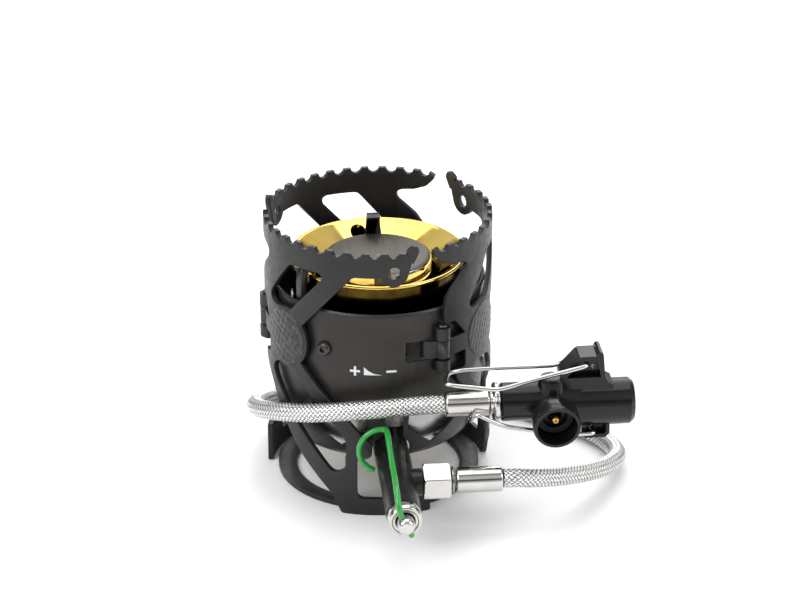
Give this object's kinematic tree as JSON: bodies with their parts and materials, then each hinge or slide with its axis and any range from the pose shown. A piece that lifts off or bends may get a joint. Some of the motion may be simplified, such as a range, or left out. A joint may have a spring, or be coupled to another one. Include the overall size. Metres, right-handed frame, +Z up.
{
  "type": "canister stove",
  "caption": "Remote burner folded for packing: drum burner in curved swing-out legs, needle valve with wire handle, and a braided fuel hose wrapped round it to a canister connector.",
  "frame": {"origin": "on the burner's axis at the height of the feet", "axes": "+Z up along the burner's axis, -Y towards the control valve, +X towards the hose inlet"},
  "size_m": [0.1459, 0.1559, 0.1093],
  "materials": {
    "housing_steel": "satin dark grey coating",
    "leg_steel": "satin dark grey coating, slightly rough",
    "bowl_metal": "polished gold-coloured metal",
    "burner_steel": "brushed, with a polished skirt on the spreader",
    "bright_metal": "bright plated",
    "jet_brass": "satin machined brass",
    "hose_braid": "braided stainless steel wire",
    "connector_plastic": "satin-gloss black plastic",
    "seal_rubber": "matt",
    "handle_paint": "green coated wire",
    "priming_felt": "woven pad"
  },
  "bodies": {
    "burner": {"housing": "housing_steel", "base_ring": "housing_steel", "valve_tube": "housing_steel", "burner_bowl": "bowl_metal", "flame_spreader": "burner_steel", "spreader_clip_1": "burner_steel", "spreader_clip_2": "burner_steel", "mixing_tube": "burner_steel", "vaporiser_tube": "burner_steel", "bowl_bracket_1": "burner_steel", "bowl_bracket_2": "burner_steel", "bowl_bracket_3": "burner_steel", "housing_screw_1": "burner_steel", "housing_screw_2": "burner_steel", "housing_screw_3": "burner_steel", "hinge_pin_1": "burner_steel", "hinge_pin_2": "burner_steel", "hinge_pin_3": "burner_steel", "inlet_nipple": "burner_steel", "inner_cup": "bright_metal", "gland_nut": "bright_metal", "inlet_nut": "bright_metal", "inlet_ferrule": "bright_metal", "connector_ferrule": "bright_metal", "connector_collar": "bright_metal", "jet_block": "jet_brass", "jet": "jet_brass", "depressor_pin": "jet_brass", "fuel_hose": "hose_braid", "connector_body": "connector_plastic", "spindle_seal": "seal_rubber", "cup_seal": "seal_rubber", "priming_pad": "priming_felt"},
    "leg_1": {"leg_1": "leg_steel"},
    "leg_2": {"leg_2": "leg_steel"},
    "leg_3": {"leg_3": "leg_steel"},
    "spindle": {"valve_spindle": "bright_metal"},
    "handle": {"adjuster_wire": "handle_paint"},
    "upper_stand": {"upper_stand_wire": "bright_metal"},
    "lower_stand": {"lower_stand_wire": "bright_metal"}
  },
  "joints": [
    {"name": "leg_1_swing", "type": "hinge", "parent": "burner", "child": "leg_1", "pos_m": [-0.042, 0.00037, 0.06575], "axis": [0, 0, -1], "range_deg": [0, 90], "deforming": ["fuel_hose"]},
    {"name": "leg_2_swing", "type": "hinge", "parent": "burner", "child": "leg_2", "pos_m": [0.02068, -0.03655, 0.06575], "axis": [0, 0, -1], "range_deg": [0, 90], "deforming": ["fuel_hose", "inlet_ferrule", "connector_ferrule", "connector_collar", "connector_body", "upper_stand_wire", "lower_stand_wire", "depressor_pin", "cup_seal"]},
    {"name": "leg_3_swing", "type": "hinge", "parent": "burner", "child": "leg_3", "pos_m": [0.02132, 0.03619, 0.06575], "axis": [0, 0, -1], "range_deg": [0, 90], "deforming": ["fuel_hose"]},
    {"name": "valve_turn", "type": "hinge", "parent": "burner", "child": "spindle", "pos_m": [0.0015, -0.06, 0.0244], "axis": [0, -1, 0], "range_deg": [0, 200]},
    {"name": "handle_swing", "type": "hinge", "parent": "spindle", "child": "handle", "pos_m": [0.0015, -0.0948, 0.0244], "axis": [-0.4226, 0, 0.9063], "range_deg": [0, 180]},
    {"name": "upper_stand_swing", "type": "hinge", "parent": "burner", "child": "upper_stand", "pos_m": [0.0717, -0.0495, 0.0651], "axis": [0, 1, 0], "range_deg": [0, 90]},
    {"name": "lower_stand_swing", "type": "hinge", "parent": "burner", "child": "lower_stand", "pos_m": [0.075, -0.0495, 0.0376], "axis": [0, -1, 0], "range_deg": [0, 20]}
  ]
}
